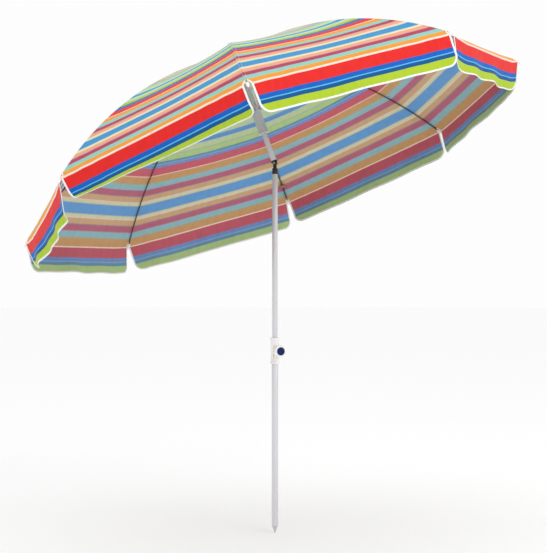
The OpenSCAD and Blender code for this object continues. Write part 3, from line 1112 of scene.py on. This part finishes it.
    def stitch_rows(self, rib: int) -> List[np.ndarray]:
        """The sewing on a rib's cloth.

        Args:
            rib: Which rib.

        Returns:
            Paths of its rows, in the frame of the CAD model.
        """
        rows = []
        s = np.linspace(0.05, self.rib_len - self.notch - 0.002, 90)
        for gore, sign in ((rib - 1, 1.0), (rib, -1.0)):
            wide = self.arc(s)[0] * math.sin(self.half)
            rows.append(self.panel_point(gore, s, sign * (wide - np.minimum(self.sewn_rib, 0.35 * wide))))
            rows.append(self.hem_path(gore, sign, self.sewn_seam))
            rows.append(self.edge_path(gore, sign, self.sewn_edge))
        lift = self.sewn_lift * self.head.turned((0, 0, 1))
        return [self.head.world(row) + lift for row in rows]

    def dress(self, rib: int, piece: bpy.types.Object) -> bpy.types.Object:
        """Hangs a piece on its rib and gives it a mesh of its own.

        Args:
            rib: Which rib.
            piece: The piece, with its final mesh.

        Returns:
            The same piece.
        """
        azimuth = self.rib_azimuth(rib)
        across = self.head.turned((-math.sin(azimuth), math.cos(azimuth), 0))
        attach(piece, f"rib_{rib}")
        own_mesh(piece)
        return piece

    def build(self, stitcher: "Stitcher") -> None:
        """Makes every cloth piece of the canopy, rib by rib.

        Args:
            stitcher: What sews the stitches.
        """
        for rib in range(1, RIBS + 1):
            fabric = self.dress(rib, self.sector(rib))
            binding = self.dress(rib, self.binding(rib))
            piping = self.dress(rib, self.piping(rib))
            stitches = self.dress(rib, stitcher.sew(f"stitches_{rib}", self.stitch_rows(rib)))
            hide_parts(f"canopy_{rib}")
            LOG.info("cloth of rib %d: %d faces", rib, len(fabric.data.polygons))


# ---- Geometry Nodes ------------------------------------------------------------------------------


class NodeTree:
    """A Geometry Nodes tree that is built once and run on objects to make plain meshes."""

    def __init__(self, name: str, inputs: Sequence[Tuple[str, str, Any]]) -> None:
        """Starts a tree with a geometry input and the named inputs.

        Args:
            name: The tree's name.
            inputs: Name, socket type and default of each input.
        """
        self.tree = bpy.data.node_groups.new(name, "GeometryNodeTree")
        self.tree.interface.new_socket("Geometry", in_out="INPUT", socket_type="NodeSocketGeometry")
        self.keys: Dict[str, str] = {}
        for label, kind, default in inputs:
            socket = self.tree.interface.new_socket(label, in_out="INPUT", socket_type=kind)
            socket.default_value = default
            self.keys[label] = socket.identifier
        self.tree.interface.new_socket("Geometry", in_out="OUTPUT", socket_type="NodeSocketGeometry")
        self.source = self.tree.nodes.new("NodeGroupInput")
        self.sink = self.tree.nodes.new("NodeGroupOutput")

    def node(
        self, kind: str, settings: Optional[Dict[str, Any]] = None, values: Optional[Dict[Any, Any]] = None
    ) -> Any:
        """Adds a node.

        Args:
            kind: The node's type name.
            settings: Its properties.
            values: A value or an output socket for each input, by name or place.

        Returns:
            The new node.
        """
        made = self.tree.nodes.new(kind)
        for key, value in (settings or {}).items():
            setattr(made, key, value)
        for key, value in (values or {}).items():
            if isinstance(value, bpy.types.NodeSocket):
                self.tree.links.new(value, made.inputs[key])
            else:
                made.inputs[key].default_value = value
        return made

    def run(self, source: bpy.types.Object, name: str, values: Dict[str, Any]) -> bpy.types.Object:
        """Runs the tree on an object and returns the result as a plain mesh object.

        Args:
            source: The object that carries the paths; it is removed.
            name: Name of the new object.
            values: Value of each named input.

        Returns:
            The new object.
        """
        modifier = source.modifiers.new("make", "NODES")
        modifier.node_group = self.tree
        for label, value in values.items():
            modifier[self.keys[label]] = value
        bpy.context.view_layer.update()
        depsgraph = bpy.context.evaluated_depsgraph_get()
        mesh = bpy.data.meshes.new_from_object(source.evaluated_get(depsgraph))
        mesh.name = name
        source.modifiers.remove(modifier)
        bpy.data.objects.remove(source)
        made = bpy.data.objects.new(name, mesh)
        bpy.context.scene.collection.objects.link(made)
        return made


def path_object(name: str, paths: Sequence[np.ndarray]) -> bpy.types.Object:
    """An object of bare edges along some paths, for a node tree to work on.

    Args:
        name: The object's name.
        paths: Points of each path.

    Returns:
        The object, in the scene.
    """
    points, edges = [], []
    for path in paths:
        first = len(points)
        points.extend(path.tolist())
        edges.extend((first + k, first + k + 1) for k in range(len(path) - 1))
    mesh = bpy.data.meshes.new(name)
    mesh.from_pydata(points, edges, [])
    made = bpy.data.objects.new(name, mesh)
    bpy.context.scene.collection.objects.link(made)
    return made


class Stitcher:
    """Sews rows of stitches along paths."""

    def __init__(self, thread: bpy.types.Material) -> None:
        """Builds the node tree.

        Args:
            thread: The stitches' material.
        """
        t = NodeTree(
            "stitch_rows",
            [
                ("Pitch", "NodeSocketFloat", 0.005),
                ("Stitch Length", "NodeSocketFloat", 0.0034),
                ("Thread Radius", "NodeSocketFloat", 0.0004),
            ],
        )
        curve = t.node("GeometryNodeMeshToCurve", {}, {0: t.source.outputs["Geometry"]})
        spaced = t.node("GeometryNodeResampleCurve", {"mode": "LENGTH"}, {"Curve": curve.outputs[0]})
        t.tree.links.new(t.source.outputs["Pitch"], spaced.inputs["Length"])
        along = t.node("GeometryNodeInputTangent")
        aim = t.node("FunctionNodeAlignRotationToVector", {"axis": "Z"}, {"Vector": along.outputs[0]})
        stitch = t.node(
            "GeometryNodeMeshCylinder", {"fill_type": "TRIANGLE_FAN"},
            {
                "Vertices": 5,
                "Radius": t.source.outputs["Thread Radius"],
                "Depth": t.source.outputs["Stitch Length"],
            },
        )
        placed = t.node(
            "GeometryNodeInstanceOnPoints", {},
            {"Points": spaced.outputs[0], "Instance": stitch.outputs["Mesh"], "Rotation": aim.outputs[0]},
        )
        real = t.node("GeometryNodeRealizeInstances", {}, {0: placed.outputs[0]})
        dyed = t.node("GeometryNodeSetMaterial", {}, {"Geometry": real.outputs[0], "Material": thread})
        t.tree.links.new(dyed.outputs[0], t.sink.inputs[0])
        self.tree = t

    def sew(self, name: str, rows: Sequence[np.ndarray], pitch: float = 0.005) -> bpy.types.Object:
        """Makes the stitches of some rows.

        Args:
            name: Name of the new piece.
            rows: The rows' paths.
            pitch: Distance from one stitch to the next.

        Returns:
            The stitches as one plain mesh.
        """
        source = path_object(name + "_path", rows)
        return self.tree.run(
            source, name, {"Pitch": pitch, "Stitch Length": 0.68 * pitch, "Thread Radius": 0.00028}
        )


# ---- Hardware ------------------------------------------------------------------------------------


@dataclass
class Hardware:
    """The rigid pieces: the CAD shapes with broken edges and their finishes."""

    finishes: Finishes
    nodes: Dict[str, bpy.types.Object]

    def table(self) -> List[Tuple[str, bpy.types.Material, float]]:
        """Node name, or its start, with the finish and the width of the broken edges."""
        f = self.finishes
        return [
            ("ground_spike", f.grey, 0.0006), ("lower_tube", f.tube, 0.0002),
            ("height_collar", f.white, 0.0011), ("collar_nut", f.steel, 0.0003),
            ("pressure_pad", f.black, 0.0003), ("clamp_screw", f.steel, 0.0004),
            ("knob_body", f.white, 0.0012), ("knob_cap", f.blue, 0.0009),
            ("middle_tube", f.tube, 0.0002), ("end_bush", f.black, 0.0003),
            ("tilt_socket", f.black, 0.0005), ("tilt_fork", f.black, 0.0005),
            ("tilt_pin", f.steel, 0.0004), ("tilt_nut", f.steel, 0.0003),
            # The upper tube and the runner get darker finishes than the pale parts below, partly as painted
            # shade under the canopy.
            ("upper_tube", f.upper, 0.0002), ("runner", f.grey, 0.0007),
            ("catch_spring", f.steel, 0.0002), ("crown_ring", f.steel, 0.0),
            ("crown", f.white, 0.0004), ("fabric_washer", f.white, 0.0002),
            ("finial", f.white, 0.0010), ("rib_tip", f.white, 0.0),
            ("rib", f.rib_steel, 0.0), ("stretcher", f.upper, 0.0003),
        ]

    def build(self) -> None:
        """Gives every rigid CAD node its material and softened edges."""
        for name, node in sorted(self.nodes.items()):
            found = [row for row in self.table() if name == row[0] or name.rsplit("_", 1)[0] == row[0]]
            if not found:
                continue
            _, material, width = found[0]
            node.data.materials.clear()
            node.data.materials.append(material)
            if width > 0:
                self.soften(node, width)
            LOG.info("%s: %s", name, material.name)

    @staticmethod
    def soften(node: bpy.types.Object, width: float) -> None:
        """Adds a welded, narrow bevel to a node's sharp edges.

        Args:
            node: The CAD node.
            width: Width of the bevel.
        """
        weld = node.modifiers.new("weld", "WELD")
        weld.merge_threshold = 0.00002
        bevel = node.modifiers.new("bevel", "BEVEL")
        bevel.width = width
        bevel.segments = 2
        bevel.limit_method = "ANGLE"
        bevel.angle_limit = math.radians(38)
        bevel.harden_normals = True


@dataclass
class ClosingStrap:
    """The folded tie that hangs against a back rib, made of webbing."""

    finishes: Finishes
    head: HeadFrame
    body: str = "rib_6"
    thick: float = 0.0011
    half_wide: float = 0.0086
    half_fold: float = 0.0040
    fold_gap: float = 0.0033

    def build(self) -> None:
        """Lays three folds of webbing in the strap's space and hangs them on the rib."""
        lo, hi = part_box("closing_strap")
        centre = np.array((lo + hi) / 2)
        azimuth = math.pi + 6.5 * 2 * math.pi / RIBS
        out = self.head.turned((math.cos(azimuth), math.sin(azimuth), 0))
        side = self.head.turned((-math.sin(azimuth), math.cos(azimuth), 0))
        slope = math.radians(37.0)
        along = math.cos(slope) * out - math.sin(slope) * self.head.up
        down = -math.sin(slope) * out - math.cos(slope) * self.head.up
        turn = np.linspace(-0.5 * math.pi, 0.5 * math.pi, 7)
        loop = self.fold_gap / 2
        path, level = [], -0.0035
        for fold in range(3):
            sign = 1 if fold % 2 == 0 else -1
            for k in np.linspace(-1, 1, 6):
                path.append((sign * k * self.half_fold, level))
            if fold < 2:
                path.extend(
                    (sign * (self.half_fold + 0.0014 * math.cos(a)), level + loop * (1 + math.sin(a)))
                    for a in turn
                )
            level += self.fold_gap
        p = np.array([centre + x * along + z * down for x, z in path])
        maker = MeshMaker("strap_folds")
        across = np.repeat(side[None, :], len(p), 0)
        maker.sweep(tube_rings(p, across, self.half_wide, self.thick / 2, 12))
        strap = maker.build([self.finishes.webbing])
        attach(strap, self.body)
        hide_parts("closing_strap")
        LOG.info("closing strap: %d faces", len(strap.data.polygons))


# ---- Stage ---------------------------------------------------------------------------------------


@dataclass
class Studio:
    """Plain pale floor and surround, soft lights, and the camera."""

    distance: float = 5.540
    azimuth: float = math.radians(295.3)
    height: float = 0.860
    aside: float = -0.005
    sensor_mm: float = 36.0
    lens_mm: float = 104.28933
    surround: float = 0.985
    aim_height: float = 1.3
    floor_radius: float = 40.0
    floor_sides: int = 96

    def build(self) -> None:
        """Makes the floor, world, lights and camera."""
        self.floor()
        self.world()
        self.lights()
        self.camera()

    def floor(self) -> None:
        """A wide disc under the spike's point."""
        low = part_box("ground_spike")[0].z
        maker = MeshMaker("floor")
        turn = np.arange(self.floor_sides) * math.tau / self.floor_sides
        out = self.floor_radius
        rim = np.stack([out * np.cos(turn), out * np.sin(turn), np.full(turn.shape, low)], -1)
        first = maker.add(rim)
        maker.face([first + k for k in range(self.floor_sides)])
        g = Graph("pale_floor")
        cloud = g.noise(g.place(), 1.2, 2.0)
        g.wire("Base Color", g.mix(cloud * 0.04, srgb(252, 252, 252), srgb(240, 240, 242)))
        g.wire("Roughness", 0.9)
        g.wire("Specular IOR Level", 0.1)
        maker.build([g.material], smooth=False)

    def world(self) -> None:
        """An even pale surround."""
        world = bpy.data.worlds.new("studio")
        bpy.context.scene.world = world
        world.use_nodes = True
        back = world.node_tree.nodes["Background"]
        back.inputs["Color"].default_value = (1.0, 1.0, 1.0, 1.0)
        back.inputs["Strength"].default_value = self.surround
        bpy.context.scene.view_settings.view_transform = "Standard"

    def lights(self) -> None:
        """A large key from the right, a weaker fill from the left."""
        self.softbox("key", 335.0, 30.0, 5.2, 2.4, 62.0)
        self.softbox("fill", 250.0, 12.0, 6.0, 3.0, 10.0)

    def softbox(
        self, name: str, azimuth: float, elevation: float, far: float, size: float, watts: float
    ) -> None:
        """One square area light aimed at the canopy.

        Args:
            name: The light's name.
            azimuth: Direction it stands in, degrees.
            elevation: Its height above the canopy's level, degrees.
            far: Distance from the canopy.
            size: Side of the square.
            watts: Power.
        """
        light = bpy.data.lights.new(name, "AREA")
        light.size = size
        light.energy = watts
        a, e = math.radians(azimuth), math.radians(elevation)
        back = Vector((math.cos(a) * math.cos(e), math.sin(a) * math.cos(e), math.sin(e)))
        lamp = bpy.data.objects.new(name, light)
        lamp.location = Vector((0, 0, self.aim_height)) + back * far
        lamp.rotation_euler = (-back).to_track_quat("-Z", "Y").to_euler()
        bpy.context.scene.collection.objects.link(lamp)

    def camera(self) -> None:
        """A level camera at the viewing angle."""
        data = bpy.data.cameras.new("camera")
        data.sensor_width = self.sensor_mm
        data.lens = self.lens_mm
        back = Vector((math.cos(self.azimuth), math.sin(self.azimuth), 0))
        right = Vector((-math.sin(self.azimuth), math.cos(self.azimuth), 0))
        camera = bpy.data.objects.new("camera", data)
        camera.location = back * self.distance + right * self.aside + Vector((0, 0, self.height))
        camera.rotation_euler = (-back).to_track_quat("-Z", "Y").to_euler()
        bpy.context.scene.collection.objects.link(camera)
        bpy.context.scene.camera = camera


def main() -> None:
    """Builds every sub-assembly in order."""
    logging.basicConfig(level=logging.INFO, format="%(name)s: %(message)s")
    finishes = Finishes.make()
    head = HeadFrame.from_record(frame["joints"])
    Studio().build()
    Hardware(finishes, frame["nodes"]).build()
    Canopy(head, finishes).build(Stitcher(finishes.thread))
    ClosingStrap(finishes, head).build()


if __name__ == "__main__":
    main()
